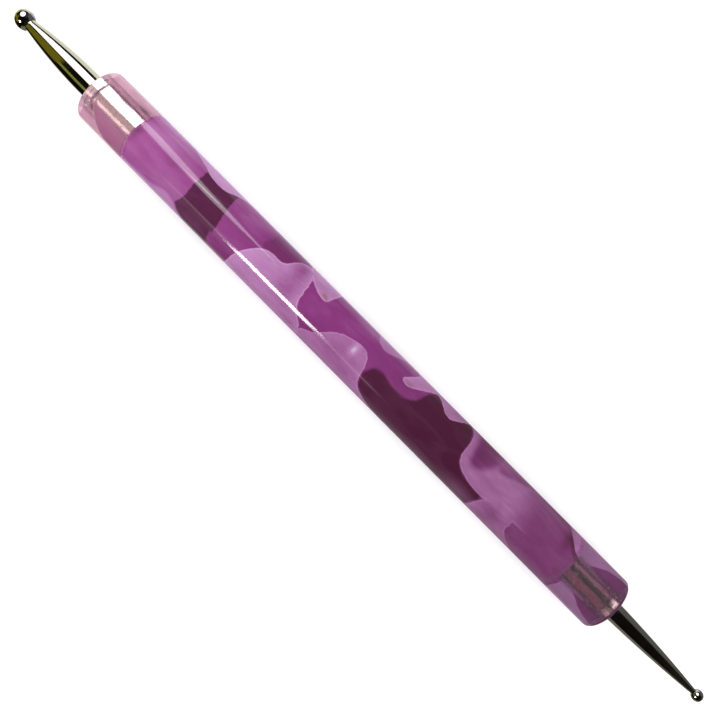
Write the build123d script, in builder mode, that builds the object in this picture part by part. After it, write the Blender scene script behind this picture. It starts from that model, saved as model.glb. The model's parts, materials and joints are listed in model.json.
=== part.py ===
from build123d import *
import os
from math import sqrt

# Two-way embossing stylus: a turned rod of marbled acrylic with a ball-ended steel tip glued into
# a blind bore at each end. It lies along X as it lies on a table. Z is up, and z = 0 is the line
# that the handle rests on. The origin is below the middle of the tool's whole length.

# Handle
handle_length = 95.0
handle_diameter = 8.0
handle_edge_radius = 0.4

# Large tip, at the -X end. The shank's exposed length runs parallel, then tapers on a slow curve
# to the neck, where the ball is welded on. The reach is from the handle's end to the ball's centre.
large_shank_diameter = 3.5
large_shank_insert = 7.75
large_parallel_length = 2.5
large_taper_belly = 0.23
large_neck_diameter = 1.65
large_ball_diameter = 2.75
large_ball_reach = 14.6

# Small tip, at the +X end
small_shank_diameter = 2.6
small_shank_insert = 7.5
small_parallel_length = 1.5
small_taper_belly = 0.14
small_neck_diameter = 0.76
small_ball_diameter = 1.6
small_ball_reach = 16.7

# Fits
shank_end_chamfer = 0.2
glue_film = 0.12
glue_pool = 0.5

# The bores take the shank with a film of glue round it and a pool of glue under its inner end.
large_bore_radius = large_shank_diameter / 2 + glue_film
large_bore_depth = large_shank_insert + glue_pool
small_bore_radius = small_shank_diameter / 2 + glue_film
small_bore_depth = small_shank_insert + glue_pool

# The tool's two overhangs set where the handle lies along X.
large_overhang = large_ball_reach + large_ball_diameter / 2
small_overhang = small_ball_reach + small_ball_diameter / 2
handle_centre_x = (large_overhang - small_overhang) / 2
large_end_x = handle_centre_x - handle_length / 2
small_end_x = handle_centre_x + handle_length / 2
axis_height = handle_diameter / 2

# Section planes of the two tips: local X runs out of the handle along the tool's axis, and local Y
# is the height above that axis.
large_section = Plane(origin=(large_end_x, 0, axis_height), x_dir=(-1, 0, 0), z_dir=(0, 1, 0))
small_section = Plane(origin=(small_end_x, 0, axis_height), x_dir=(1, 0, 0), z_dir=(0, -1, 0))

# Planes of the handle's two end faces, looking outwards
large_end_face = Plane(origin=large_section.origin, z_dir=large_section.x_dir)
small_end_face = Plane(origin=small_section.origin, z_dir=small_section.x_dir)


def weld_distance(ball_diameter, neck_diameter):
    """Distance from the ball's centre to the flat that its neck is welded to."""
    return sqrt((ball_diameter / 2) ** 2 - (neck_diameter / 2) ** 2)


def shank_outline(shank_radius, insert, parallel_length, neck_radius, neck_end, belly):
    """Half section of a shank, from its chamfered inner end to its neck, for a turn about X."""
    with BuildLine() as outline:
        Polyline(
            (neck_end, neck_radius),
            (neck_end, 0),
            (-insert, 0),
            (-insert, shank_radius - shank_end_chamfer),
            (shank_end_chamfer - insert, shank_radius),
            (parallel_length, shank_radius),
        )
        SagittaArc((parallel_length, shank_radius), (neck_end, neck_radius), belly)
    return outline


# Handle: the rod, its rounded end edges and its two blind bores
with BuildPart() as handle:
    with BuildSketch(small_end_face):
        Circle(handle_diameter / 2)
    extrude(amount=-handle_length)
    fillet(handle.edges().filter_by(GeomType.CIRCLE), handle_edge_radius)
    with Locations(large_end_face):
        Hole(large_bore_radius, large_bore_depth)
    with Locations(small_end_face):
        Hole(small_bore_radius, small_bore_depth)
handle.part.label = "handle"

# Large tip
large_weld_distance = weld_distance(large_ball_diameter, large_neck_diameter)
large_neck_end = large_ball_reach - large_weld_distance

with BuildPart() as large_tip_shank:
    with BuildSketch(large_section):
        add(
            shank_outline(
                large_shank_diameter / 2,
                large_shank_insert,
                large_parallel_length,
                large_neck_diameter / 2,
                large_neck_end,
                large_taper_belly,
            ).line
        )
        make_face()
    revolve(axis=Axis(large_section.origin, large_section.x_dir))
large_tip_shank.part.label = "large_tip_shank"

with BuildPart() as large_tip_ball:
    with Locations(large_end_face.offset(large_ball_reach)):
        Sphere(large_ball_diameter / 2)
    split(bisect_by=large_end_face.offset(large_neck_end), keep=Keep.TOP)
large_tip_ball.part.label = "large_tip_ball"

with BuildPart() as large_tip_glue:
    with BuildSketch(large_end_face):
        Circle(large_bore_radius)
    extrude(amount=-large_bore_depth)
    add(large_tip_shank.part, mode=Mode.SUBTRACT)
large_tip_glue.part.label = "large_tip_glue"

# Small tip
small_weld_distance = weld_distance(small_ball_diameter, small_neck_diameter)
small_neck_end = small_ball_reach - small_weld_distance

with BuildPart() as small_tip_shank:
    with BuildSketch(small_section):
        add(
            shank_outline(
                small_shank_diameter / 2,
                small_shank_insert,
                small_parallel_length,
                small_neck_diameter / 2,
                small_neck_end,
                small_taper_belly,
            ).line
        )
        make_face()
    revolve(axis=Axis(small_section.origin, small_section.x_dir))
small_tip_shank.part.label = "small_tip_shank"

with BuildPart() as small_tip_ball:
    with Locations(small_end_face.offset(small_ball_reach)):
        Sphere(small_ball_diameter / 2)
    split(bisect_by=small_end_face.offset(small_neck_end), keep=Keep.TOP)
small_tip_ball.part.label = "small_tip_ball"

with BuildPart() as small_tip_glue:
    with BuildSketch(small_end_face):
        Circle(small_bore_radius)
    extrude(amount=-small_bore_depth)
    add(small_tip_shank.part, mode=Mode.SUBTRACT)
small_tip_glue.part.label = "small_tip_glue"

os.makedirs("parts", exist_ok=True)
export_step(handle.part, "parts/handle.step")
export_step(large_tip_shank.part, "parts/large_tip_shank.step")
export_step(large_tip_ball.part, "parts/large_tip_ball.step")
export_step(large_tip_glue.part, "parts/large_tip_glue.step")
export_step(small_tip_shank.part, "parts/small_tip_shank.step")
export_step(small_tip_ball.part, "parts/small_tip_ball.step")
export_step(small_tip_glue.part, "parts/small_tip_glue.step")
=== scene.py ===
"""Looks of a two-way embossing stylus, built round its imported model.

A marbled acrylic rod carries a ball-ended plated steel tip in each end. The rod, the shanks, the
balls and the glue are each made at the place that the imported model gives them, with a material
worked out from nodes.
"""

import json
from math import cos, pi, radians, sin, sqrt

import bmesh
import bpy
import numpy as np
from mathutils import Euler, Matrix, Vector

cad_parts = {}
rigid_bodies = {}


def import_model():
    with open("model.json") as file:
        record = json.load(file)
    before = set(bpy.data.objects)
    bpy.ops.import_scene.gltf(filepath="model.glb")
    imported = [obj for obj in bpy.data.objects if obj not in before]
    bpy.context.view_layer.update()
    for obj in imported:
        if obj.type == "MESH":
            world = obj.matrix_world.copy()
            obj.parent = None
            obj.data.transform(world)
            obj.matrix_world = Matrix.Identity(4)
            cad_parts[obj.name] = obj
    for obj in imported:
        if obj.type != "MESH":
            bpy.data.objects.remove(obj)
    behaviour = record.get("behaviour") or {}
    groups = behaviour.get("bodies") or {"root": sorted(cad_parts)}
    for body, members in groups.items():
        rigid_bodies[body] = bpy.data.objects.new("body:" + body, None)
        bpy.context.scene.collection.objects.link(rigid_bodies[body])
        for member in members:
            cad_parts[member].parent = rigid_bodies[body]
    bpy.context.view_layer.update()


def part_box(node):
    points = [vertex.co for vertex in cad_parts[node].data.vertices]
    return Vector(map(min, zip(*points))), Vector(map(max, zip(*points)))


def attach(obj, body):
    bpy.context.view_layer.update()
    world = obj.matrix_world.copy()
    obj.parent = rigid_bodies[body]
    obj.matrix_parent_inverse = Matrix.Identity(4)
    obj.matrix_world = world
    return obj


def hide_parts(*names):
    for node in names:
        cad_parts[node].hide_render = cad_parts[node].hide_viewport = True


bl_info = {
    "name": "Embossing stylus",
    "version": (1, 0, 0),
    "blender": (4, 5, 0),
    "location": "3D View > Sidebar > Stylus",
    "description": "Builds a two-way embossing stylus with a marbled acrylic handle",
    "category": "Object",
}

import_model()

MM = 0.001


def mm(value):
    """Millimetres as metres."""
    return value * MM


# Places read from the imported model
handle_low, handle_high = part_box("handle")
handle_radius = (handle_high.z - handle_low.z) / 2
handle_middle = (handle_low + handle_high) / 2
axis_height = handle_middle.z
handle_half = (handle_high.x - handle_low.x) / 2
once_round = 2 * pi * handle_radius / MM

REFRACTION = 1.49  # of the acrylic and of the set glue
SHARP_CORNER = radians(30)
RING_SPACING = mm(0.35)  # between the rings of faces along the rod
SHANK_CHAMFER = mm(0.2)
WETTING = mm(0.004)  # how far the glue reaches into the walls that it holds
FARTHEST = 2.0  # millimetres outside a shape, past which its distance isn't worked out

# The clear ends: how long the window in the rod's skin is, how far above the axis it starts, where
# along the rod its milk starts, and the sizes of the resin inside
WINDOW_LENGTH = mm(8.75)
WINDOW_LEVEL = mm(1.6)
MILK_START = -39.0
SHEET_LENGTH = mm(9.01)
SHEET_THICKNESS = mm(0.08)
PLUG_LENGTH = mm(1.2)

# The marbling inside the clear ends is laid out as it shows through the resin from above: the place
# along the rod where a line of sight stands upright, and its lean for each metre away from there
EYE_ALONG = mm(4.5)
SIGHT_LEAN = 6.1

# The camera: lens in millimetres, tilt in degrees, and place along the rod and above its axis
CAMERA_LENS = 36.224
CAMERA_TILT = (-0.188, 1.415, 0.156)
CAMERA_ALONG = mm(4.548)
CAMERA_HEIGHT = mm(95.993)

# Lamps that show only in gloss: place, aim, length and width in metres, and watts
LAMPS = {
    "window": ((-0.305, 0.209, 0.376), (-0.05, 0, 0), (0.44, 0.58), 1.1),
    "window_core": ((-0.191, 0.23, 0.423), (-0.026, 0, 0), (0.03, 0.02), 0.028),
    "window_soft": ((-0.234, 0.285, 0.41), (-0.034, 0, 0), (0.1, 0.32), 0.5),
    "lamp": ((-0.099, -0.385, 0.312), (-0.013, 0, 0), (0.09, 0.115), 0.8),
    "lamp_halo": ((-0.099, -0.385, 0.312), (-0.014, 0, 0), (0.24, 0.06), 0.06),
}

# Bubbles in the glue: steps that spread the small ones evenly round and along a shank, then degrees
# round the axis and radius in millimetres of those in the pool at its end
GOLDEN_ANGLE = 137.5
GOLDEN_SHARE = 0.618
POOL_BUBBLES = ((21, 0.13), (-11, 0.15), (70, 0.1), (115, 0.12), (190, 0.14), (250, 0.1))

# The marbling is laid out on the unrolled rod: millimetres along it from its middle, towards the
# small ball, then degrees round it from its top, towards +Y. Each veil has how much pearl it
# holds, how much of that fades away inside it, how soft its edge is, how bright the line along its
# edge is, and its outline.
VEILS = {
    "shoulder": (0.95, 0.1, 0.10, 0.3, [
        (-36, 112), (-33.5, 82), (-31.2, 62), (-29.6, 52), (-28.4, 44), (-26.9, 41), (-25.5, 44),
        (-24.5, 54), (-23.3, 67), (-21.5, 86), (-20, 112), (-22, 142), (-28, 152), (-34, 137)]),
    "long": (0.9, 0.2, 0.06, 1.0, [
        (-20.5, -112), (-19.7, -75), (-19.2, -50), (-18.6, -22), (-17.6, 0), (-16.4, 15),
        (-15, 20), (-13.7, 21), (-12.9, 30), (-12.4, 45), (-11.6, 59), (-10.8, 65), (-10, 58),
        (-9.4, 42), (-9, 22), (-8.8, 5), (-8.4, -13), (-7.5, -30), (-6.5, -42), (-6.2, -60),
        (-6, -85), (-7, -120), (-14, -140)]),
    "centre": (0.62, 0.2, 0.06, 0.8, [
        (-6.3, -75), (-6.3, -50), (-5.7, -40), (-4.6, -32), (-3.7, -18), (-2.6, -2), (-1.2, 9),
        (0.5, 15.5), (1.9, 15.5), (2.8, 8), (3.3, -6), (3.6, -22), (4.2, -42), (5.2, -56),
        (6.8, -68), (9, -82), (9, -106), (0, -122), (-6, -110)]),
    "upper_left": (0.9, 0.1, 0.07, 0.9, [
        (-13, 102), (-11.2, 78), (-10.2, 58), (-9.4, 44), (-8.3, 33), (-7.2, 26.5), (-6.3, 26),
        (-5.9, 33), (-5.6, 50), (-5.4, 68), (-5, 90), (-3, 116), (-7, 132), (-12, 122)]),
    "faint": (0.6, 0.2, 0.14, 0.3, [
        (1.6, 96), (1.8, 75), (2.3, 54), (3.3, 45), (4.3, 46), (5.4, 56), (6.6, 70), (8, 90),
        (6, 112), (2.5, 112)]),
    "fingers": (0.9, 0.1, 0.06, 1.0, [
        (8.5, 102), (9.2, 73), (9, 57), (8.2, 41), (7.8, 30), (8.1, 25), (8.9, 24), (9.9, 31),
        (10.9, 43), (12, 57), (12.6, 66), (13.3, 60), (14.4, 45), (15.3, 38.5), (16.2, 41.5),
        (17.1, 54), (17.9, 68), (18.8, 88), (20, 122), (14, 142), (9, 127)]),
    "hook": (0.6, 0.0, 0.07, 0.9, [
        (18.9, 92), (18.9, 72), (19.4, 55), (19.7, 30), (19.8, 8), (20.4, -8), (21.8, -18),
        (23.6, -23.5), (25.3, -24.5), (26.4, -22), (27.4, -16), (28.6, -13), (29.8, -15),
        (31.2, -16), (32.8, -12), (33.2, 20), (33.2, 60), (32.8, 84), (28, 96)]),
    "arch": (0.55, 0.3, 0.1, 0.8, [
        (25.4, -110), (25.1, -70), (25.3, -45), (25.8, -26), (26.4, -17), (27.2, -10),
        (28.3, -4), (29.4, -3), (30.1, -8), (30.4, -22), (30.6, -38), (31.4, -52), (33, -72),
        (34, -105)]),
    "end_upper": (0.85, 0.0, 0.06, 0.3, [
        (36.2, 102), (36.8, 72), (37.3, 52), (38.3, 34), (39.4, 25.5), (40.8, 27), (42.3, 38),
        (43.8, 50), (45.8, 59), (49, 66), (52, 110), (49, 185), (40, 185), (37, 140)]),
    "end_lower": (0.75, 0.0, 0.06, 0.3, [
        (39.7, -102), (39.9, -75), (40, -45), (40.3, -29), (41.5, -27), (43, -35), (45, -49),
        (49, -64), (52, -110), (49, -185), (42, -185), (40, -150)]),
    "left_low": (0.75, 0.0, 0.5, 0.3, [
        (-50, -52), (-45, -58), (-40, -63), (-36, -63), (-33.6, -58), (-31.9, -48),
        (-30.8, -45), (-29.7, -50), (-28.6, -62), (-28, -76), (-28.5, -112), (-36, -132),
        (-50, -120)]),
    "left_high": (0.55, 0.0, 0.7, 0.0, [
        (-50, 40), (-45, 52), (-38, 58), (-34, 70), (-33, 95), (-38, 130), (-50, 120)]),
    "back_left": (0.8, 0.3, 0.08, 0.8, [
        (-46, 165), (-41, 150), (-37, 158), (-35, 180), (-38, 205), (-42, 215), (-45, 200)]),
    "back_middle": (0.8, 0.3, 0.07, 0.9, [
        (-18, 170), (-10, 160), (-3, 150), (4, 158), (10, 175), (7, 195), (-1, 205), (-9, 222),
        (-16, 205)]),
    "back_right": (0.75, 0.4, 0.08, 0.8, [
        (16, 170), (22, 150), (29, 145), (34, 160), (33, 190), (27, 215), (20, 205)]),
}

# Deep, clear plum resin between the veils: how deep, how soft its edge is, and its outline
DEEPS = {
    "band": (1.0, 0.10, [
        (-29.9, -122), (-29.1, -76), (-28.9, -58), (-29.3, -45), (-28.7, -25), (-28.7, 0),
        (-28.8, 30), (-29, 48), (-28.5, 62), (-27, 82), (-24, 82), (-23.9, 50), (-23.4, 20),
        (-23, -5), (-22.8, -30), (-23.2, -55), (-23, -80), (-24, -122)]),
    "heart": (1.0, 0.3, [
        (7, -78), (5.2, -56), (4.2, -42), (3.7, -22), (3.9, -8), (4.4, 4), (5.4, 9), (6.4, 7.5),
        (7.6, 4), (8.8, 2.5), (10, 5.5), (10.8, 14), (11.2, 26), (11.6, 45), (12.4, 64),
        (13.3, 76), (18.3, 76), (19.2, 55), (19.7, 30), (19.8, 8), (20.4, -8), (21.8, -18),
        (23.6, -23.5), (25.3, -25), (25.2, -45), (25, -66), (24.5, -96), (15, -122),
        (8, -106)]),
    "end": (0.65, 0.25, [
        (36.8, 68), (37.1, 45), (37.8, 30), (38.8, 18), (40.2, 11), (43.5, 4), (43.8, -15),
        (43, -32), (46, -82), (52, -82), (52, 82), (37, 82)]),
    "violet": (0.25, 0.7, [
        (20.7, 98), (20.6, 60), (20.9, 25), (21.5, 12), (22.5, 18), (23.5, 42), (24.4, 98)]),
    "shade": (0.25, 0.3, [
        (-23, -28), (-19.4, -30), (-19.8, -60), (-21, -80), (-23, -80)]),
    "above": (0.4, 0.2, [
        (-17.4, 95), (-16.9, 62), (-16.7, 42), (-17.1, 24), (-16.4, 16), (-15, 19), (-13.5, 20),
        (-12.8, 32), (-12.2, 48), (-11.4, 62), (-11.5, 95)]),
    "below": (0.35, 0.3, [
        (-17.8, -4), (-19.4, -32), (-20.8, -58), (-21.4, -82), (-19.4, -82), (-19, -50),
        (-18.4, -22), (-17.5, 0)]),
    "back": (0.9, 0.10, [
        (-30, 170), (-24, 160), (-19, 175), (-20, 210), (-26, 225), (-31, 205)]),
}

# Hollows in the veils, where the pearl thins out: how far, how softly, and the outline
HOLLOWS = {
    "violet": (1.0, 0.55, [
        (20.4, 98), (20.3, 70), (20.5, 40), (20.8, 18), (21.4, 6), (22.4, 6), (23.3, 16),
        (24.1, 34), (24.9, 58), (25.6, 98)]),
    "upper": (0.75, 0.4, [
        (24.4, 98), (24.5, 60), (24.7, 38), (25.4, 34), (26.9, 43), (28.8, 57), (31, 74),
        (32, 98)]),
    "right": (1.0, 2.6, [
        (29.8, 98), (30.2, 60), (30.2, 25), (30.2, 5), (31.0, -20), (33, -60), (36, -60),
        (36, 40), (35.4, 98)]),
}

# Haze in the clear large end, with a painted reflection of the bore mouth's edge as its curved
# border, shut over the shank: how thick, how soft, and the outline
HAZE_AND_REFLECTIONS = {
    "left": (0.95, 0.3, [
        (-45.6, -8), (-44.8, -29), (-43.9, -46), (-42.7, -62), (-41, -80), (-40, -110),
        (-39.2, -90), (-39.2, -50), (-39.3, -30), (-39.5, -20), (-42, -20), (-44.6, -19)]),
}

# Soft clouds in the resin: place along and round, half length and half width in millimetres, tilt
# in degrees, and how much lighter (or, below zero, darker) they make it
CLOUDS = [
    (-36, 32, 3.2, 1.2, 0, 0.5), (-33, -35, 5, 1.4, 0, 0.15), (-30.5, 22, 1.6, 1.4, 0, 0.15),
    (-34, 8, 6, 0.7, 0, -0.25), (-21, 42, 2.2, 1.2, 20, 0.15), (-26, -54, 3, 1.2, 0, 0.5),
    (-21, -55, 2, 1.5, 0, -0.2), (-3, -62, 2.4, 0.8, 0, 0.2), (-1.5, 35, 3, 1.4, 30, 0.1),
    (1, 55, 2.2, 1.2, 0, 0.25), (23, -55, 1.8, 1.2, 0, 0.25), (14, -66, 9, 1.2, 0, 0.5),
    (37.2, 33, 0.7, 1.4, 0, -0.6), (35, -40, 2, 1.5, 0, -0.1), (-4.5, -8, 1.6, 1.2, 0, -0.1),
    (7, 18, 2.0, 0.8, 0, -0.15), (-16, 45, 2.0, 1.5, 0, -0.25), (33, 55, 3, 1.2, 0, 0.25),
    (34, -62, 4, 1.0, 0, 0.2), (9, 58, 1.5, 0.8, 0, 0.2), (-5.6, -36, 1.3, 0.5, 25, -0.3),
    (21.6, 30, 0.9, 2.2, 0, -0.25), (25.2, 62, 2.0, 1.2, 20, 0.4),
    (-40.2, 40, 1.3, 0.8, 0, -0.8), (-38.7, 0, 0.5, 1.0, 0, -0.5),
    (23, -62, 2.8, 2.0, 0, 0.8), (-34, 62, 3, 1.2, 0, 0.4),
]

# The same for the pearl inside the veils
PEARLS = [
    (-16, 3, 2.0, 2.0, 0, 0.12), (-10.8, -2, 1.8, 2.4, 0, -0.35), (-11.2, 45, 1.3, 1.4, 0, -0.5),
    (-13.5, -50, 3, 1.0, 0, 0.1), (-7.6, -52, 1.3, 1.4, 0, -0.3), (0.8, 1, 0.5, 1.0, 0, 0.85),
    (-1, -30, 2, 1.2, 0, -0.1), (26.4, 36, 4.2, 0.4, 32, 0.15), (22.4, -7, 2.4, 0.6, -18, 0.15),
    (27.8, -38, 1.1, 1.3, 0, -0.15), (28.6, 14, 2.2, 1.4, 0, 0.1),
    (28.8, -3.5, 1.5, 0.2, 0, 0.3), (29.2, -14, 0.9, 0.8, 0, 0.25), (-27, 60, 2, 1, 0, 0.1),
]

# Small brown inclusions: place along and round, half length and half width, tilt, strength
SPECKS = [
    (-6.8, 35, 0.45, 0.26, 0, 1.0), (9.0, 30, 0.45, 0.28, 20, 0.6),
    (-6.3, 31, 0.3, 0.2, 0, 0.6),
]


class HandleSettings(bpy.types.PropertyGroup):
    """Sizes and colours of the marbled rod"""

    edge_radius: bpy.props.FloatProperty(
        name="Edge radius", description="Rounding of the rod's end edges",
        default=mm(0.4), min=0, unit="LENGTH")
    # The colours at the small ball's end are darker than at the large ball's: partly painted shade,
    # for light that falls off from the large ball's end
    resin_left: bpy.props.FloatVectorProperty(
        name="Resin, large end", description="Purple of the resin at the large ball's end",
        default=(0.28, 0.072, 0.23), min=0, max=1, subtype="COLOR")
    resin_middle: bpy.props.FloatVectorProperty(
        name="Resin, middle", description="Purple of the resin in the middle",
        default=(0.17, 0.028, 0.135), min=0, max=1, subtype="COLOR")
    resin_right: bpy.props.FloatVectorProperty(
        name="Resin, small end", description="Purple of the resin at the small ball's end",
        default=(0.12, 0.028, 0.092), min=0, max=1, subtype="COLOR")
    plum_left: bpy.props.FloatVectorProperty(
        name="Plum, large end", description="Deep clear resin at the large ball's end",
        default=(0.082, 0.016, 0.052), min=0, max=1, subtype="COLOR")
    plum_right: bpy.props.FloatVectorProperty(
        name="Plum, small end", description="Deep clear resin at the small ball's end",
        default=(0.043, 0.0075, 0.021), min=0, max=1, subtype="COLOR")
    pearl_left: bpy.props.FloatVectorProperty(
        name="Pearl, large end", description="Pearl veils at the large ball's end",
        default=(0.44, 0.22, 0.43), min=0, max=1, subtype="COLOR")
    pearl_right: bpy.props.FloatVectorProperty(
        name="Pearl, small end", description="Pearl veils at the small ball's end",
        default=(0.27, 0.115, 0.245), min=0, max=1, subtype="COLOR")
    milk: bpy.props.FloatVectorProperty(
        name="Milk", description="Haze of the clear resin at the large ball's end",
        default=(0.5, 0.29, 0.37), min=0, max=1, subtype="COLOR")
    # The mauve is haze at the large ball's end, with a painted reflection of the bore mouth's edge
    mauve: bpy.props.FloatVectorProperty(
        name="Mauve", description="Fog in the clear resin at the large ball's end",
        default=(0.28, 0.097, 0.185), min=0, max=1, subtype="COLOR")
    clear_tint: bpy.props.FloatVectorProperty(
        name="Clear tint", description="Tint of the clear resin at both ends",
        default=(0.95, 0.8, 0.88), min=0, max=1, subtype="COLOR")


class TipSettings(bpy.types.PropertyGroup):
    """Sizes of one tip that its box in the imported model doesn't give"""

    parallel_length: bpy.props.FloatProperty(
        name="Parallel length", description="Straight stretch of the shank outside the handle",
        default=mm(2.5), min=0, unit="LENGTH")
    belly: bpy.props.FloatProperty(
        name="Belly", description="How far the taper bulges from a straight cone",
        default=mm(0.23), min=0, unit="LENGTH")
    weld_radius: bpy.props.FloatProperty(
        name="Weld radius", description="Radius of the weld bead between ball and neck",
        default=mm(0.25), min=0, unit="LENGTH")
    neck_diameter: bpy.props.FloatProperty(
        name="Neck diameter", description="Diameter where the ball is welded on",
        default=mm(1.65), min=0, unit="LENGTH")


class StylusSettings(bpy.types.PropertyGroup):
    """All settings of the stylus"""

    handle: bpy.props.PointerProperty(type=HandleSettings)
    large_tip: bpy.props.PointerProperty(type=TipSettings)
    small_tip: bpy.props.PointerProperty(type=TipSettings)
    around: bpy.props.IntProperty(
        name="Steps round", description="Faces round each turned piece", default=128, min=12)


class Shader:
    """A material or world under construction, with short calls for the nodes that it needs."""

    def __init__(self, owner):
        owner.use_nodes = True
        self.owner = owner
        self.tree = owner.node_tree
        self.tree.nodes.clear()

    def node(self, kind, inputs=(), **settings):
        made = self.tree.nodes.new(kind)
        for name, value in settings.items():
            setattr(made, name, value)
        for name, value in dict(inputs).items():
            self.feed(made.inputs[name], value)
        return made

    def feed(self, socket, value):
        if isinstance(value, bpy.types.NodeSocket):
            self.tree.links.new(value, socket)
        elif socket.type == "RGBA" and len(value) == 3:
            socket.default_value = (*value, 1)
        else:
            socket.default_value = value

    def math(self, operation, first, second=0.0, third=0.0):
        made = self.node("ShaderNodeMath", {0: first, 1: second, 2: third}, operation=operation)
        return made.outputs[0]

    def product(self, *shares):
        result = shares[0]
        for share in shares[1:]:
            result = self.math("MULTIPLY", result, share)
        return result

    def rest(self, share):
        """What a share leaves of the whole."""
        return self.math("SUBTRACT", 1.0, share)

    def distance(self, value, middle):
        return self.math("ABSOLUTE", self.math("SUBTRACT", value, middle))

    def spread(self, value, low, high, start=0.0, end=1.0, kind="SMOOTHSTEP"):
        made = self.node(
            "ShaderNodeMapRange",
            {"Value": value, "From Min": low, "From Max": high, "To Min": start, "To Max": end},
            interpolation_type=kind)
        return made.outputs["Result"]

    def vary(self, noise, start=0.0, end=1.0):
        """Spreads the range that holds most of a noise."""
        return self.spread(noise, 0.3, 0.7, start, end)

    def blend(self, share, first, second, kind="MIX"):
        # The mix node keeps its colours in the sockets after those for numbers and vectors
        made = self.node("ShaderNodeMix", data_type="RGBA", blend_type=kind)
        self.feed(made.inputs[0], share)
        self.feed(made.inputs[6], first)
        self.feed(made.inputs[7], second)
        return made.outputs[2]

    def noise(self, place, scale, detail=2.0, roughness=0.5, distortion=0.0):
        made = self.node("ShaderNodeTexNoise", {
            "Vector": place, "Scale": scale, "Detail": detail, "Roughness": roughness,
            "Distortion": distortion})
        return made.outputs["Fac"]

    def bump(self, height, strength, distance, **more):
        inputs = {"Height": height, "Strength": strength, "Distance": distance, **more}
        return self.node("ShaderNodeBump", inputs).outputs[0]

    def mark(self, name):
        return self.node("ShaderNodeAttribute", attribute_name=name).outputs["Fac"]

    def place(self, scale=(1, 1, 1), turn=(0, 0, 0)):
        where = self.node("ShaderNodeTexCoord").outputs["Object"]
        moved = self.node("ShaderNodeMapping", {
            "Vector": where, "Scale": scale, "Rotation": turn})
        return moved.outputs["Vector"]

    def coordinates(self):
        return self.node("ShaderNodeSeparateXYZ", {0: self.place()}).outputs

    def surface(self, **inputs):
        named = {name.replace("_", " "): value for name, value in inputs.items()}
        principled = self.node("ShaderNodeBsdfPrincipled", named)
        out = self.node("ShaderNodeOutputMaterial")
        self.tree.links.new(principled.outputs[0], out.inputs["Surface"])
        return self.owner


def outline_loop(points, steps=8):
    """A closed smooth curve through given points, with degrees turned into millimetres."""
    marks = np.array(points, float)
    marks[:, 1] = np.radians(marks[:, 1]) * handle_radius / MM
    before, after, beyond = (np.roll(marks, shift, 0) for shift in (1, -1, -2))
    share = (np.arange(steps) / steps)[:, None, None]
    loop = 0.5 * (
        2 * marks + (after - before) * share
        + (2 * before - 5 * marks + 4 * after - beyond) * share**2
        + (3 * marks - before - 3 * after + beyond) * share**3)
    return loop.transpose(1, 0, 2).reshape(-1, 2)


def distance_inside(places, loop):
    """Distance in millimetres of each place from a loop, negative inside it."""
    start, run = loop, np.roll(loop, -1, 0) - loop
    offset = places[:, None] - start[None]
    share = np.clip((offset * run).sum(2) / (run**2).sum(1), 0, 1)
    gap = np.sqrt(((offset - share[..., None] * run) ** 2).sum(2)).min(1)
    end = start + run
    above = (start[:, 1] > places[:, 1:]) != (end[:, 1] > places[:, 1:])
    with np.errstate(divide="ignore", invalid="ignore"):
        cross = run[:, 0] * (places[:, 1:] - start[:, 1]) / run[:, 1] + start[:, 0]
    inside = (above & (places[:, :1] < cross)).sum(1) % 2 == 1
    return np.where(inside, -gap, gap)


def distance_round(places, points):
    """distance_inside on the rod, whose two long edges meet at the back, up to FARTHEST."""
    loop = outline_loop(points)
    best = np.full(len(places), FARTHEST)
    for shift in (-once_round, 0, once_round):
        moved = places + (0, shift)
        near = ((moved > loop.min(0) - FARTHEST) & (moved < loop.max(0) + FARTHEST)).all(1)
        if near.any():
            best[near] = np.minimum(best[near], distance_inside(moved[near], loop))
    return best


def nearest_shapes(places, shapes):
    """Distance of each place from the shape that it lies deepest in, and that shape's numbers."""
    gaps = np.stack([distance_round(places, shape[-1]) for shape in shapes.values()])
    table = np.array([shape[:-1] for shape in shapes.values()])
    return [gaps.min(0), *table[gaps.argmin(0)].T]


def cloud_amount(places, clouds):
    """How much lighter or darker some soft clouds make each place."""
    amount = np.zeros(len(places))
    for along, around, length, width, tilt, strength in clouds:
        offset = places - (along, radians(around) * handle_radius / MM)
        offset[:, 1] = (offset[:, 1] + once_round / 2) % once_round - once_round / 2
        turned = offset @ np.array(Matrix.Rotation(radians(tilt), 2))
        amount += strength * np.exp(-((turned / (length, width)) ** 2).sum(1))
    return amount


def places_on_rod(points):
    """Where points on the rod's surface lie on the unrolled rod, in millimetres."""
    angle = np.arctan2(points[:, 1], points[:, 2] - axis_height)
    return np.stack([points[:, 0] - handle_middle.x, angle * handle_radius], 1) / MM


def places_through_resin(points):
    """Where points level with the axis inside a clear end show on the rod, seen from above."""
    angles = np.radians(np.arange(0, 90.5, 0.5))
    inner = np.arcsin(np.sin(angles) / REFRACTION)
    bend = angles - inner
    reach = handle_radius * np.sin(inner) / np.cos(bend)
    angle = np.interp(np.abs(points[:, 1]), reach, angles)
    depth = handle_radius * np.cos(angle)
    along = points[:, 0] - handle_middle.x
    along -= depth * SIGHT_LEAN * (along - EYE_ALONG)
    return np.stack([along, np.sign(points[:, 1]) * angle * handle_radius], 1) / MM


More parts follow.
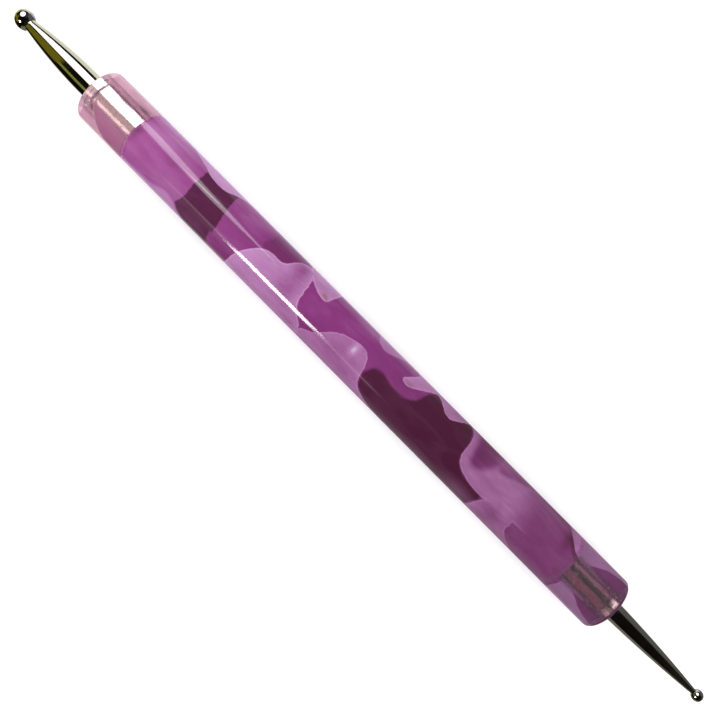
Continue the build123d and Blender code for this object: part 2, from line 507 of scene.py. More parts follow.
def marble(piece, sheet=False):
    """Writes on each point how far it lies from the nearest veil, deep, hollow and hazy patch with
    a painted reflection, and how that one looks. A piece with sheets in it has them marked as they
    show through the resin."""
    mesh = piece.data
    points = np.zeros(len(mesh.vertices) * 3)
    mesh.vertices.foreach_get("co", points)
    points = points.reshape(-1, 3)
    places = places_on_rod(points)
    if sheet:
        level = np.abs(points[:, 2] - axis_height) < mm(0.2)
        beyond = np.abs(points[:, 0] - handle_middle.x) > handle_half - SHEET_LENGTH
        places = np.where((level & beyond)[:, None], places_through_resin(points), places)
    names = ["veil_gap", "veil_pearl", "veil_fade", "veil_soft", "veil_line"]
    marks = dict(zip(names, nearest_shapes(places, VEILS)))
    for kind, shapes in (("deep", DEEPS), ("hollow", HOLLOWS), ("fog", HAZE_AND_REFLECTIONS)):
        names = [kind + "_gap", kind + "_tone", kind + "_soft"]
        marks.update(zip(names, nearest_shapes(places, shapes)))
    marks["along"] = places[:, 0]
    for kind, clouds in (("cloud", CLOUDS), ("speck", SPECKS), ("pearl", PEARLS)):
        marks[kind] = cloud_amount(places, clouds)
    for name, values in marks.items():
        layer = mesh.attributes.new(name, "FLOAT", "POINT")
        layer.data.foreach_set("value", values.astype(np.float32))


def shape_share(made, kind, wobble=0.0):
    """How far a point lies inside the nearest shape of a kind, from 0 to that shape's tone."""
    gap = made.math("ADD", made.mark(kind + "_gap"), wobble)
    inside = made.spread(made.math("DIVIDE", gap, made.mark(kind + "_soft")), 1.0, -1.0)
    return made.product(inside, made.mark(kind + "_tone"))


def marbled_colour(made, settings):
    """Plum and purple resin with pearl veils, milky at the large ball's end."""
    along = made.mark("along")
    half = handle_half / MM
    streaks = made.noise(made.place(scale=(450, 1100, 1100), turn=(0, 0, 0.3)), 1.0, 3, 0.5, 0.8)
    drift = made.noise(made.place(scale=(110, 320, 320)), 1.0, 2, 0.5, 1.5)
    fine = made.noise(made.place(scale=(900, 2500, 2500)), 1.0, 3, 0.6)
    wobble = made.vary(streaks, -0.06, 0.06)

    # The resin, the pearl and the plum, which change along the rod and darken towards the small
    # ball's end: partly their own colour, partly painted shade for light that falls off from the
    # large ball's end
    resin = made.blend(
        made.spread(along, -half, -half * 0.2), settings.resin_left, settings.resin_middle)
    resin = made.blend(
        made.spread(along, -half * 0.1, half * 0.7), resin, settings.resin_right)
    rightness = made.spread(along, -half, half * 0.5, kind="LINEAR")
    pearl = made.blend(rightness, settings.pearl_left, settings.pearl_right)
    plum = made.blend(rightness, settings.plum_left, settings.plum_right)

    # Deep plum, and soft clouds over both
    lighter = made.math("ADD", made.mark("cloud"), made.vary(drift, -0.12, 0.16))
    deep_in = shape_share(made, "deep", wobble)
    colour = made.blend(deep_in, resin, plum)
    showing = made.product(lighter, made.math("MULTIPLY_ADD", deep_in, -0.45, 0.65))
    colour = made.blend(showing, colour, pearl)

    # The veils, with the pearl held by each and the bright line along its edge
    veil_gap = made.math("ADD", made.mark("veil_gap"), wobble)
    veil_in = made.spread(made.math("DIVIDE", veil_gap, made.mark("veil_soft")), 1.0, -1.0)
    faded = made.product(made.spread(veil_gap, 0.0, -2.2), made.mark("veil_fade"))
    held = made.product(made.mark("veil_pearl"), made.rest(faded))
    held = made.math("ADD", held, made.mark("pearl"))
    held = made.math("ADD", held, wobble)
    held = made.product(held, made.rest(shape_share(made, "hollow")))
    held = made.math("MAXIMUM", held, 0.0)
    veiled = made.blend(made.product(veil_in, held), colour, pearl)
    veiled = made.blend(made.spread(held, 1.0, 1.6), veiled, (0.5, 0.38, 0.54))
    line = made.product(
        made.spread(made.distance(veil_gap, -0.1), 0.16, 0.0), made.mark("veil_line"),
        made.math("MINIMUM", held, 1.0), 0.6)
    brighter = made.blend(1.0, pearl, (1.3, 1.4, 1.35), "MULTIPLY")
    colour = made.blend(line, veiled, brighter)

    # Fine grain and brown specks, then the milk of the large ball's end and its mauve haze with a
    # painted reflection
    grain = made.blend(1.0, colour, (0.72, 0.62, 0.7), "MULTIPLY")
    colour = made.blend(made.vary(fine, 0.0, 0.16), colour, grain)
    colour = made.blend(made.mark("speck"), colour, (0.2, 0.09, 0.07))
    milky = made.spread(along, MILK_START, MILK_START - 0.6, 0.0, 0.9)
    colour = made.blend(milky, colour, settings.milk)
    # Painted reflection: the mauve patch over real haze, whose curved edge stands for the bore
    # mouth's edge mirrored in the resin
    colour = made.blend(shape_share(made, "fog"), colour, settings.mauve)
    darker = made.spread(lighter, 0.0, -0.6, 0.0, 0.6, "LINEAR")
    return made.blend(darker, colour, plum)


def acrylic_material(settings):
    """Polished marbled acrylic, with a clear window over each shank, and a painted glow on the
    large ball's end face.
    """
    made = Shader(bpy.data.materials.new("marbled_acrylic"))
    colour = marbled_colour(made, settings)
    x, _, z = made.coordinates()
    nearness = made.distance(x, handle_middle.x)
    rightward = made.spread(x, handle_middle.x, handle_middle.x + mm(1), kind="LINEAR")

    # The window on the rod's skin, whose edge wanders a little
    waves = made.noise(made.place(scale=(260, 200, 200)), 1.0, 2)
    start = made.math("ADD", nearness, made.vary(waves, mm(-0.2), mm(0.2)))
    level = made.math("ADD", z, made.vary(waves, mm(-0.3), mm(0.3)))
    first, lowest = handle_half - WINDOW_LENGTH, axis_height + WINDOW_LEVEL
    window = made.product(
        made.spread(start, first, first + mm(0.03), kind="LINEAR"),
        made.spread(level, lowest, lowest + mm(0.05), kind="LINEAR"))

    # The end faces, which are partly shut from outside and clear for rays already in the resin
    crossed = made.node("ShaderNodeLightPath").outputs["Transmission Depth"]
    outside = made.spread(crossed, 0.9, 0.1, kind="LINEAR")
    faced = made.spread(nearness, handle_half - mm(0.1), handle_half - mm(0.02))
    ring = made.spread(nearness, handle_half - mm(0.5), handle_half - mm(0.4))
    shut = made.math("MAXIMUM", made.product(ring, rightward), made.product(faced, 0.72))
    window = made.product(window, made.rest(made.product(shut, outside)))
    window = made.math("MINIMUM", window, made.rest(made.product(faced, rightward)))
    seen_within = made.product(
        faced, made.rest(outside), made.math("MULTIPLY_ADD", rightward, -0.4, 1.0))
    window = made.math("MAXIMUM", window, seen_within)
    # Painted glow: the large ball's end face is paled towards the clear tint and gives off light of
    # its own colour
    pale = made.product(faced, made.rest(rightward))

    # The same painted reflection shuts the window over the shank for rays from outside
    fog = made.product(shape_share(made, "fog"), outside)
    through = made.product(window, made.math("MULTIPLY_ADD", fog, -0.92, 1.0))
    colour = made.blend(made.spread(through, 0.6, 1.0), colour, settings.clear_tint)
    colour = made.blend(pale, colour, settings.clear_tint)
    ripples = made.noise(made.place(scale=(150, 400, 400)), 1.0, 2)
    return made.surface(
        Base_Color=colour, Roughness=made.vary(ripples, 0.07, 0.09), IOR=REFRACTION,
        Transmission_Weight=made.product(through, 0.97), Sheen_Weight=0.15, Sheen_Roughness=0.3,
        Sheen_Tint=(1.0, 0.9, 1.0), Emission_Color=colour,
        Emission_Strength=made.product(pale, 0.22), Normal=made.bump(ripples, 0.05, mm(0.05)))


def backing_material(settings):
    """Marbled resin inside the clear ends, where its surface isn't polished. Its colour is lifted
    and the sheets glow a little: painted light, for the light that the clear resin round them keeps
    off.
    """
    made = Shader(bpy.data.materials.new("cloudy_resin"))
    colour = marbled_colour(made, settings)
    large_end = made.spread(made.mark("along"), 0.0, -2.0)
    level = made.distance(made.coordinates()["Z"], axis_height)
    sheet = made.spread(level, mm(0.3), mm(0.15))
    pearly = made.spread(made.mark("veil_gap"), 0.1, -0.1)
    # Painted light: the sheets and the plug are lifted and tinted, differently at each end, to make
    # up for the light that the resin round them keeps off
    sheet_lift = made.blend(pearly, (1.1, 0.15, 1.3), (0.85, 0.95, 0.95))
    sheet_lift = made.blend(large_end, sheet_lift, (1.0, 1.0, 1.0))
    plug_lift = made.blend(large_end, (1.02, 0.78, 1.04), (1.2, 0.95, 1.2))
    lifted_with_painted_light = made.blend(1.0, colour, made.blend(sheet, plug_lift, sheet_lift), "MULTIPLY")
    # Painted glow: the sheets give off light of their own colour
    return made.surface(
        Base_Color=lifted_with_painted_light, Roughness=1.0, Specular_IOR_Level=0.0, Emission_Color=lifted_with_painted_light,
        Emission_Strength=made.product(sheet, 0.45))


def bore_material():
    """The polished wall of a bore, where the resin meets the glue."""
    made = Shader(bpy.data.materials.new("bore_wall"))
    haze = made.noise(made.place(scale=(500, 900, 900)), 1.0, 2)
    tint = made.blend(made.vary(haze, 0.0, 0.2), (1, 1, 1), (0.93, 0.86, 0.92))
    return made.surface(
        Base_Color=tint, Roughness=0.02, IOR=REFRACTION, Transmission_Weight=1.0)


def tinted(tint, factor):
    """A colour with its channels multiplied by one factor, or each by its own."""
    return tuple(np.multiply(tint, factor))


def plated_material(name, tint, roughness, rings):
    """Bright nickel plating with faint rings from the lathe, and roughened where the glue holds.
    The glued part carries painted light: a tint for the light that reaches it through the resin,
    and a painted dark reflection along the middle of the small shank.
    """
    made = Shader(bpy.data.materials.new(name))
    along, aside, _ = made.coordinates()
    small_end = made.spread(along, 0.0, mm(2), kind="LINEAR")
    glued = made.spread(
        made.distance(along, handle_middle.x), handle_half, handle_half - mm(0.3))
    turning = made.noise(made.place(scale=(rings, 20, 20)), 1.0, 3, 0.6)
    specks = made.noise(made.place(), 3500, 2)
    grit = made.noise(made.place(scale=(1100, 2200, 2200)), 1.0, 4, 0.7)
    broken = made.noise(made.place(scale=(350, 1200, 1200)), 1.0, 3, 0.6)

    bump = made.bump(
        grit, made.product(glued, 0.5), mm(0.03), Normal=made.bump(turning, 0.12, mm(0.01)))
    worn = made.spread(specks, 0.4, 0.75, roughness, roughness * 2.2)
    worn = made.math("ADD", worn, made.product(glued, 0.06))
    pitted = made.product(glued, made.spread(grit, 0.55, 0.62, 0.0, 0.4), small_end)
    worn = made.math("ADD", worn, pitted)

    colour = made.blend(made.spread(specks, 0.35, 0.7, 0.0, 0.5), tint, tinted(tint, 0.85))
    # Painted light: the glued steel is lighter at the large ball's end, and darker and pinker at
    # the small one's, for the light that reaches it through the resin
    painted_resin_light = made.blend(small_end, tinted(tint, (1.22, 1.2, 1.3)), tinted(tint, (0.9, 0.62, 0.76)))
    colour = made.blend(glued, colour, painted_resin_light)
    # Painted reflection: a broken dark stripe along the middle of the small shank's glued part
    painted_dark_reflection = made.product(
        made.spread(made.distance(aside, mm(0.2)), mm(0.42), mm(0.15)), glued, small_end,
        made.spread(broken, 0.35, 0.5, 0.35, 0.9))
    colour = made.blend(painted_dark_reflection, colour, tinted(tint, 0.12))
    stained = made.product(
        glued, made.spread(grit, 0.42, 0.62, 0.0, 0.85),
        made.spread(along, handle_low.x, handle_high.x, 0.3, 1.0, "LINEAR"))
    colour = made.blend(stained, colour, tinted(tint, 0.5))
    return made.surface(Base_Color=colour, Metallic=1.0, Roughness=worn, Normal=bump)


def glue_material():
    """Clear set glue, faintly yellowed in places."""
    made = Shader(bpy.data.materials.new("clear_glue"))
    haze = made.noise(made.place(scale=(900, 1500, 1500)), 1.0, 2)
    tint = made.blend(made.spread(haze, 0.35, 0.7, 0.0, 0.4), (1, 1, 1), (0.95, 0.88, 0.86))
    return made.surface(
        Base_Color=tint, Roughness=made.vary(haze, 0.0, 0.06), IOR=REFRACTION,
        Transmission_Weight=1.0)


def box_radius(box):
    """Radius of a turned piece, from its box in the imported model."""
    low, high = box
    return (high.z - low.z) / 2


def box_ends(box, side):
    """Where a piece on one side of the tool starts and ends, from the tool's middle outwards."""
    low, high = box
    return (low.x, high.x) if side > 0 else (high.x, low.x)


def outline_mesh(points):
    """A bmesh with one chain of edges through points given as (x, radius)."""
    made = bmesh.new()
    verts = [made.verts.new((x, 0, axis_height + radius)) for x, radius in points]
    for ends in zip(verts, verts[1:]):
        made.edges.new(ends)
    return made


def turn_on_lathe(made, steps):
    """Spins an outline a full turn about the tool's axis and closes its poles."""
    bmesh.ops.spin(
        made, geom=made.verts[:] + made.edges[:], cent=(0, 0, axis_height), axis=(1, 0, 0),
        dvec=(0, 0, 0), angle=2 * pi, steps=steps, use_merge=True, use_duplicate=False)
    bmesh.ops.remove_doubles(made, verts=made.verts, dist=mm(0.0005))
    bmesh.ops.recalc_face_normals(made, faces=made.faces)


def finish_piece(name, made, materials):
    """Turns a bmesh into a piece of the tool with smooth faces and sharp corners."""
    for edge in made.edges:
        edge.smooth = edge.calc_face_angle(0.0) < SHARP_CORNER
    for face in made.faces:
        face.smooth = True
    mesh = bpy.data.meshes.new(name)
    made.to_mesh(mesh)
    made.free()
    for material in materials:
        mesh.materials.append(material)
    piece = bpy.data.objects.new(name, mesh)
    bpy.context.scene.collection.objects.link(piece)
    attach(piece, "root")
    return piece


def lay_sheet(made, along, across):
    """Adds a thin closed sheet level with the axis between two places along and across."""
    length, width = abs(along[1] - along[0]), across[1] - across[0]
    middle = Vector((sum(along) / 2, sum(across) / 2, axis_height))
    grid = bmesh.ops.create_grid(
        made, x_segments=max(2, int(length / mm(0.1))), y_segments=int(width / mm(0.06)), size=0.5,
        matrix=Matrix.Translation(middle) @ Matrix.Diagonal((length, width, 1, 1)))
    top = {face for vert in grid["verts"] for face in vert.link_faces}
    under = bmesh.ops.extrude_face_region(made, geom=list(top), use_keep_orig=True)
    lowered = [item for item in under["geom"] if isinstance(item, bmesh.types.BMVert)]
    bmesh.ops.translate(made, verts=lowered, vec=(0, 0, -SHEET_THICKNESS))


def cast_cloudy_resin(side, steps):
    """The resin inside one clear end: a plug behind the glue, and sheets level with the axis from
    the plug past both sides of the shank to the end face."""
    glue_start, _ = box_ends(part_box("large_tip_glue" if side < 0 else "small_tip_glue"), side)
    shank_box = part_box("large_tip_shank" if side < 0 else "small_tip_shank")
    clearance = mm(0.005)
    shank_start = box_ends(shank_box, side)[0] - side * clearance
    shank_side = box_radius(shank_box) + clearance

    front = glue_start - side * mm(0.05)
    back = front - side * PLUG_LENGTH
    radius = handle_radius - mm(0.03)
    made = outline_mesh([(back, 0), (back, radius), (front, radius), (front, 0)])
    rim = max(made.edges, key=lambda edge: min(vert.co.z for vert in edge.verts))
    bmesh.ops.subdivide_edges(made, edges=[rim], cuts=4)
    turn_on_lathe(made, steps)

    # The last stretch is narrower, to stay inside the rod's rounded edge
    end = handle_middle.x + side * (handle_half - mm(0.02))
    rounded = end - side * mm(0.2)
    wide = handle_radius - mm(0.05)
    narrow = wide - mm(0.25)
    lay_sheet(made, (front, shank_start), (-wide, wide))
    for reach, edge in (((shank_start, rounded), wide), ((rounded, end), narrow)):
        lay_sheet(made, reach, (shank_side, edge))
        lay_sheet(made, reach, (-edge, -shank_side))
    bmesh.ops.recalc_face_normals(made, faces=made.faces)
    return made


class STYLUS_OT_handle(bpy.types.Operator):
    """Make the marbled acrylic handle"""

    bl_idname = "stylus.handle"
    bl_label = "Marbled handle"

    def execute(self, context):
        settings = context.scene.stylus.handle
        steps = context.scene.stylus.around
        large_glue, small_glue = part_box("large_tip_glue"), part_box("small_tip_glue")
        large_bore, small_bore = box_radius(large_glue), box_radius(small_glue)
        large_bottom, small_bottom = box_ends(large_glue, -1)[0], box_ends(small_glue, 1)[0]
        left, right = handle_low.x, handle_high.x
        made = outline_mesh([
            (large_bottom, 0), (large_bottom, large_bore), (left, large_bore),
            (left, handle_radius), (right, handle_radius), (right, small_bore),
            (small_bottom, small_bore), (small_bottom, 0)])
        made.verts.ensure_lookup_table()
        bmesh.ops.bevel(
            made, geom=[made.verts[3], made.verts[4]], offset=settings.edge_radius,
            offset_type="OFFSET", segments=6, profile=0.5, affect="VERTICES", material=-1)
        long_edge = max(made.edges, key=lambda edge: edge.calc_length())
        cuts = int(long_edge.calc_length() / RING_SPACING)
        bmesh.ops.subdivide_edges(made, edges=[long_edge], cuts=cuts)
        turn_on_lathe(made, steps)
        for face in made.faces:
            middle = face.calc_center_median()
            inner = (middle.yz - Vector((0, axis_height))).length < large_bore + mm(0.01)
            face.material_index = 1 if inner else 0
        piece = finish_piece("marbled_handle", made, [acrylic_material(settings), bore_material()])
        marble(piece)
        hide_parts("handle")

        cloudy = backing_material(settings)
        for side, name in ((-1, "large_end"), (1, "small_end")):
            piece = finish_piece("cloudy_resin_" + name, cast_cloudy_resin(side, steps), [cloudy])
            marble(piece, sheet=True)
        return {"FINISHED"}


def taper(start, end, belly, steps):
    """Points of a shallow arc from start to end, bulging outwards by belly at its middle."""
    start, end = Vector(start), Vector(end)
    run = end - start
    radius = run.length**2 / (8 * belly) + belly / 2
    side = Vector((-run.y, run.x)).normalized()
    side = side if side.y > 0 else -side
    centre = (start + end) / 2 - side * (radius - belly)
    first, last = start - centre, end - centre
    sweep = first.angle(last)
    sign = 1 if first.angle_signed(last) > 0 else -1
    points = []
    for step in range(steps + 1):
        turned = Matrix.Rotation(-sign * sweep * step / steps, 2) @ first
        points.append(tuple(centre + turned))
    return points


def weld_bead(ball_radius, neck_radius, bead):
    """Middle of the bead that rounds the corner between ball and neck, from the ball's middle."""
    out = neck_radius + bead
    return sqrt((ball_radius + bead)**2 - out**2), out


def flare_to_ball(point, centre, bead, away, out):
    """A point of the neck, moved out to the weld bead's hollow where it lies beside the ball."""
    x, height = point
    past = away - abs(x - centre)
    if past > 0:
        height = max(height, out - sqrt(max(bead**2 - past**2, 0)))
    return x, height


class STYLUS_OT_shanks(bpy.types.Operator):
    """Make both plated steel shanks"""

    bl_idname = "stylus.shanks"
    bl_label = "Shanks"

    def execute(self, context):
        stylus = context.scene.stylus
        plated = plated_material("plated_shank", (0.72, 0.7, 0.64), 0.05, 9000)
        for side, name, sizes in (
                (-1, "large_tip", stylus.large_tip), (1, "small_tip", stylus.small_tip)):
            shank_box, ball_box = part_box(name + "_shank"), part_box(name + "_ball")
            radius, ball = box_radius(shank_box), box_radius(ball_box)
            inner, neck = box_ends(shank_box, side)
            centre = box_ends(ball_box, side)[1] - side * ball
            mouth = handle_high.x if side > 0 else handle_low.x
            shoulder = mouth + side * sizes.parallel_length
            neck_radius = sizes.neck_diameter / 2
            points = [
                (inner, 0), (inner, radius - SHANK_CHAMFER),
                (inner + side * SHANK_CHAMFER, radius)]
            points += taper((shoulder, radius), (neck, neck_radius), sizes.belly, 80)
            bead = sizes.weld_radius
            away, out = weld_bead(ball, neck_radius, bead)
            points = [flare_to_ball(point, centre, bead, away, out) for point in points]
            points.append((neck, 0))
            made = outline_mesh(points)
            turn_on_lathe(made, stylus.around)
            piece = finish_piece(name + "_steel_shank", made, [plated])
            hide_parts(name + "_shank")
        return {"FINISHED"}


class STYLUS_OT_balls(bpy.types.Operator):
    """Make both polished balls"""

    bl_idname = "stylus.balls"
    bl_label = "Balls"

    def execute(self, context):
        stylus = context.scene.stylus
        polished = plated_material("polished_ball", (0.72, 0.71, 0.67), 0.03, 2000)
        ball_steps, bead_steps = 40, 6
        for side, name, sizes in (
                (-1, "large_tip", stylus.large_tip), (1, "small_tip", stylus.small_tip)):
            ball_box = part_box(name + "_ball")
            radius = box_radius(ball_box)
            centre = box_ends(ball_box, side)[1] - side * radius
            neck_radius = sizes.neck_diameter / 2
            flat = sqrt(radius**2 - neck_radius**2)
            bead = sizes.weld_radius
            away, out = weld_bead(radius, neck_radius, bead)
            last = pi - Vector((away, out)).angle(Vector((1, 0)))
            points = []
            for step in range(ball_steps + 1):
                turned = Matrix.Rotation(last * step / ball_steps, 2) @ Vector((radius, 0))
                points.append((centre + side * turned.x, abs(turned.y)))
            start = away * radius / (radius + bead)
            for step in range(1, bead_steps + 1):
                along = start + (flat - start) * step / bead_steps
                height = out - sqrt(bead**2 - (along - away)**2)
                points.append((centre - side * along, height))
            points.append((centre - side * flat, 0))
            made = outline_mesh(points)
            turn_on_lathe(made, stylus.around)
            piece = finish_piece(name + "_polished_ball", made, [polished])
            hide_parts(name + "_ball")
        return {"FINISHED"}


def blow_bubbles(made, side, inner, mouth, reach, film):
    """Adds small closed hollows to the glue: strung along the film, larger in the pool at the
    shank's end."""
    spots = []
    for step in range(46 if side > 0 else 30):
        share = (step * GOLDEN_SHARE + 0.13) % 1.0
        size = film * (0.22 + 0.2 * (step * 0.381 % 1.0))
        along = inner + (mouth - inner) * (0.03 + 0.93 * share)
        spots.append((along, radians(step * GOLDEN_ANGLE), reach, size))
    pool = inner - side * mm(0.25)
    for angle, size in POOL_BUBBLES:
        spots.append((pool, radians(angle), reach - mm(0.12), mm(size)))
    for along, angle, out, size in spots:
        place = Vector((along, out * sin(angle), axis_height + out * cos(angle)))
        bubble = bmesh.ops.create_icosphere(
            made, subdivisions=2, radius=size, matrix=Matrix.Translation(place))
        shell = {face for vert in bubble["verts"] for face in vert.link_faces}
        bmesh.ops.reverse_faces(made, faces=list(shell))


class STYLUS_OT_glue(bpy.types.Operator):
    """Make the glue round both shanks"""

    bl_idname = "stylus.glue"
    bl_label = "Glue"

    def execute(self, context):
        stylus = context.scene.stylus
        material = glue_material()
        for side, name in ((-1, "large_tip"), (1, "small_tip")):
            glue_box, shank_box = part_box(name + "_glue"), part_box(name + "_shank")
            bottom, mouth = box_ends(glue_box, side)
            bottom -= side * WETTING
            bore = box_radius(glue_box) + WETTING
            shank = box_radius(shank_box) - WETTING
            inner = box_ends(shank_box, side)[0] + side * WETTING
            made = outline_mesh([
                (bottom, 0), (bottom, bore), (mouth, bore), (mouth, shank), (inner, shank),
                (inner, 0)])
            turn_on_lathe(made, stylus.around)
            blow_bubbles(made, side, inner, mouth, (shank + bore) / 2, bore - shank)
            piece = finish_piece(name + "_clear_glue", made, [material])
            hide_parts(name + "_glue")
        return {"FINISHED"}


def lay_floor(scene):
    """Makes the pale round floor, which the steel and the acrylic don't mirror."""
    made = bmesh.new()
    bmesh.ops.create_circle(made, cap_ends=True, segments=96, radius=4.0)
    mesh = bpy.data.meshes.new("floor")
    made.to_mesh(mesh)
    made.free()
    floor = bpy.data.objects.new("floor", mesh)
    scene.collection.objects.link(floor)
    floor.visible_glossy = False
    shader = Shader(bpy.data.materials.new("pale_floor"))
    paper = shader.noise(shader.place(), 60, 3)
    pale = shader.blend(shader.vary(paper), (0.9, 0.9, 0.9), (0.92, 0.92, 0.92))
    mesh.materials.append(shader.surface(
        Base_Color=pale, Roughness=0.9, Specular_IOR_Level=0.0))


def add_area(name, place, aim, size, power, glossy=True):
    """Hangs a soft lamp that shows only in gloss or, with glossy off, lights only what is matt."""
    data = bpy.data.lights.new(name, "AREA")
    data.shape = "RECTANGLE"
    data.size, data.size_y = size
    data.energy = power
    light = bpy.data.objects.new(name, data)
    light.location = place
    light.rotation_euler = (Vector(aim) - Vector(place)).to_track_quat("-Z", "Y").to_euler()
    light.visible_camera = False
    light.visible_glossy = glossy
    light.visible_transmission = False
    light.visible_diffuse = not glossy
    bpy.context.scene.collection.objects.link(light)
    return light


def hang_lamps():
    """Hangs all lamps, and keeps the large round window off everything but the steel."""
    add_area("overhead", (0, 0, 0.9), (0, 0, 0), (1.4, 1.4), 9.6, glossy=False)
    lamps = {name: add_area(name, *lamp) for name, lamp in LAMPS.items()}
    window = lamps["window"]
    window.data.shape = "ELLIPSE"
    metal = bpy.data.collections.new("metal")
    for piece in bpy.data.objects:
        if piece.name.endswith(("_steel_shank", "_polished_ball")):
            metal.objects.link(piece)
    window.light_linking.receiver_collection = metal


class Sky(Shader):
    """The studio round the tool, as a sky: x runs along the tool, y across it, z upwards, and
    height is z for a ray turned square to the tool."""

    def __init__(self, owner):
        super().__init__(owner)
        facing = self.node("ShaderNodeTexCoord").outputs["Generated"]
        self.x, self.y, self.z = self.node("ShaderNodeSeparateXYZ", {0: facing}).outputs
        square = self.math("SUBTRACT", 1.0001, self.product(self.x, self.x))
        self.height = self.math("DIVIDE", self.z, self.math("SQRT", square))
        self.leftness = self.spread(self.x, -0.12, -0.42)
        self.far_side = self.spread(self.y, 0.0, 0.03)
        self.near_side = self.spread(self.y, 0.0, -0.03)
        self.ray = self.node("ShaderNodeLightPath").outputs

    def below(self, left, right):
        """Directions under a slanting line, whose height is given at its left and right end."""
        limit = self.spread(self.x, -0.4, 0.3, left, right)
        return self.spread(self.math("SUBTRACT", self.height, limit), 0.03, -0.03)

    def mirrored(self):
        """What the steel and the skin of the acrylic mirror."""
        x, y, z, height, leftness = self.x, self.y, self.z, self.height, self.leftness
        right = self.spread(x, 0.58, 0.66)
        around = self.blend(right, (0.004, 0.003, 0.002), (0.013, 0.012, 0.007))

        # A dim blue on the far side, and two stripes of yellow-green on the near side
        blue = self.product(
            self.spread(y, 0.25, 0.5), self.spread(x, -0.45, -0.3), self.spread(x, 0.5, 0.35))
        around = self.blend(blue, around, (0.03, 0.032, 0.07))
        thin = self.product(
            self.spread(height, 0.65, 0.6), self.spread(height, 0.22, 0.27),
            self.spread(y, -0.1, -0.2), leftness)
        around = self.blend(thin, around, (0.22, 0.25, 0.05))
        broad = self.product(
            self.spread(x, -0.6, -0.62), self.spread(x, -0.86, -0.8),
            self.spread(y, -0.07, -0.14), self.spread(height, -0.1, 0.02))
        around = self.blend(broad, around, (0.16, 0.14, 0.008))

        # The pale table on both sides of the tool, and under it
        far = self.blend(leftness, (0.11, 0.11, 0.1), (0.9, 0.9, 0.76))
        bluish = self.product(
            self.spread(z, -0.15, -0.35), self.spread(x, -0.5, -0.4), self.spread(x, 0.15, 0.0))
        far = self.blend(bluish, far, (0.65, 0.6, 0.78))
        near = self.blend(leftness, (0.18, 0.18, 0.15), (0.75, 0.8, 0.66))
        around = self.blend(self.product(self.far_side, self.below(0.0, 0.6)), around, far)
        around = self.blend(self.product(self.near_side, self.below(-0.78, 0.0)), around, near)
        around = self.blend(self.spread(height, -0.93, -0.98), around, (0.95, 0.95, 0.95))

        # Green, which the large tip's neck and ball mirror
        green = self.product(
            self.spread(x, -0.56, -0.62), self.spread(x, -0.985, -0.965),
            self.spread(z, 0.15, -0.05), self.spread(self.math("ABSOLUTE", y), 0.42, 0.3))
        return self.blend(green, around, (0.36, 0.5, 0.06))

    def seen_inside(self):
        """What rays that have been in the clear resin bring along from its depth."""
        height, far_side, near_side = self.height, self.far_side, self.near_side

        # A ray mirrored twice inside an end has also been turned back by the end's flat face
        turned_back = self.spread(self.ray["Glossy Depth"], 1.2, 1.8, kind="LINEAR")
        change = self.math("MULTIPLY_ADD", self.leftness, -0.65, self.spread(self.x, 0.12, 0.42))
        large_end = self.math("MULTIPLY_ADD", turned_back, change, self.leftness)
        pink = (0.58, 0.44, 0.41)
        inner = self.blend(large_end, (0.035, 0.012, 0.018), pink)
        low_far = self.product(far_side, self.spread(height, 0.72, 0.55))
        inner = self.blend(
            low_far, inner, self.blend(large_end, (0.2, 0.075, 0.13), (0.8, 0.44, 0.54)))
        inner = self.blend(near_side, inner, self.blend(large_end, (0.19, 0.055, 0.11), pink))

        # On the large shank: the white band, the glow in front of it, and the dark strip below
        for share, low, high, colour in (
                (far_side, 0.975, 0.955, (4.5, 4.4, 4.2)),
                (near_side, 0.82, 0.79, (1.6, 1.25, 1.15)),
                (near_side, 0.57, 0.5, (0.34, 0.14, 0.22))):
            patch = self.product(share, self.spread(height, low, high), large_end)
            inner = self.blend(patch, inner, colour)
        return inner


def hang_sky(scene):
    """Hangs the studio round the tool: mirrors show it, and everything else gets plain white."""
    scene.world = bpy.data.worlds.new("studio")
    sky = Sky(scene.world)
    mirrored, through, diffused = (
        sky.math("MINIMUM", sky.ray[kind + " Depth"], 1.0)
        for kind in ("Glossy", "Transmission", "Diffuse"))
    around = sky.blend(through, sky.mirrored(), sky.seen_inside())
    # The matt resin inside the clear ends gets a brighter white than the rest
    plain = sky.blend(sky.product(through, diffused), (0.95, 0.95, 0.95), (2.3, 2.3, 2.3))
    shown = sky.blend(sky.product(mirrored, sky.rest(diffused)), plain, around)
    background = sky.node("ShaderNodeBackground", {"Color": shown, "Strength": 1.0})
    out = sky.node("ShaderNodeOutputWorld")
    sky.tree.links.new(background.outputs[0], out.inputs["Surface"])


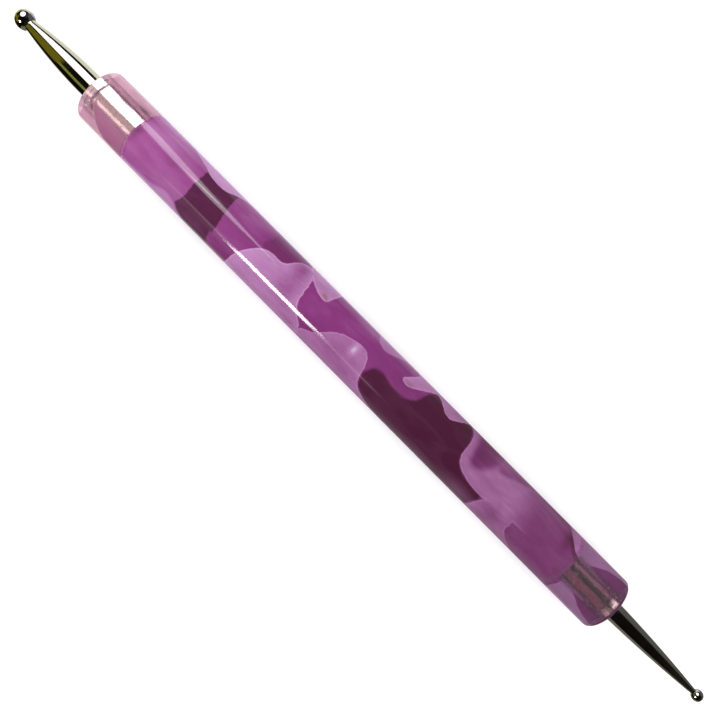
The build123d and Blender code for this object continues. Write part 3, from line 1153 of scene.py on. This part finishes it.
def stand_camera(scene):
    """Stands the camera above the tool, at the photo's place and angle."""
    data = bpy.data.cameras.new("camera")
    data.sensor_width = 36.0
    data.lens = CAMERA_LENS
    data.clip_start = 0.005
    data.clip_end = 20.0
    camera = bpy.data.objects.new("camera", data)
    tilt = Euler([radians(angle) for angle in CAMERA_TILT]).to_matrix()
    turned = (tilt @ Matrix.Rotation(radians(45), 3, "Z")).to_4x4()
    place = Vector((handle_middle.x + CAMERA_ALONG, 0, axis_height + CAMERA_HEIGHT))
    camera.matrix_world = Matrix.Translation(place) @ turned
    scene.collection.objects.link(camera)
    scene.camera = camera


class STYLUS_OT_stage(bpy.types.Operator):
    """Make the floor, the lights and the camera"""

    bl_idname = "stylus.stage"
    bl_label = "Stage"

    def execute(self, context):
        scene = context.scene
        lay_floor(scene)
        hang_lamps()
        hang_sky(scene)
        stand_camera(scene)
        scene.view_settings.view_transform = "Standard"
        scene.view_settings.look = "None"
        return {"FINISHED"}


OPERATORS = (
    STYLUS_OT_handle, STYLUS_OT_shanks, STYLUS_OT_balls, STYLUS_OT_glue, STYLUS_OT_stage)


class STYLUS_PT_panel(bpy.types.Panel):
    """Lists the pieces of the stylus"""

    bl_idname = "STYLUS_PT_panel"
    bl_label = "Embossing stylus"
    bl_space_type = "VIEW_3D"
    bl_region_type = "UI"
    bl_category = "Stylus"

    def draw(self, context):
        for operator in OPERATORS:
            self.layout.operator(operator.bl_idname)


CLASSES = (HandleSettings, TipSettings, StylusSettings, *OPERATORS, STYLUS_PT_panel)


def register():
    for item in CLASSES:
        bpy.utils.register_class(item)
    bpy.types.Scene.stylus = bpy.props.PointerProperty(type=StylusSettings)


def unregister():
    del bpy.types.Scene.stylus
    for item in reversed(CLASSES):
        bpy.utils.unregister_class(item)


def main():
    register()
    stylus = bpy.context.scene.stylus
    stylus.small_tip.parallel_length = mm(1.5)
    stylus.small_tip.belly = mm(0.14)
    stylus.small_tip.neck_diameter = mm(0.76)
    stylus.small_tip.weld_radius = mm(0.12)
    bpy.ops.stylus.handle()
    bpy.ops.stylus.shanks()
    bpy.ops.stylus.balls()
    bpy.ops.stylus.glue()
    bpy.ops.stylus.stage()


if __name__ == "__main__":
    main()
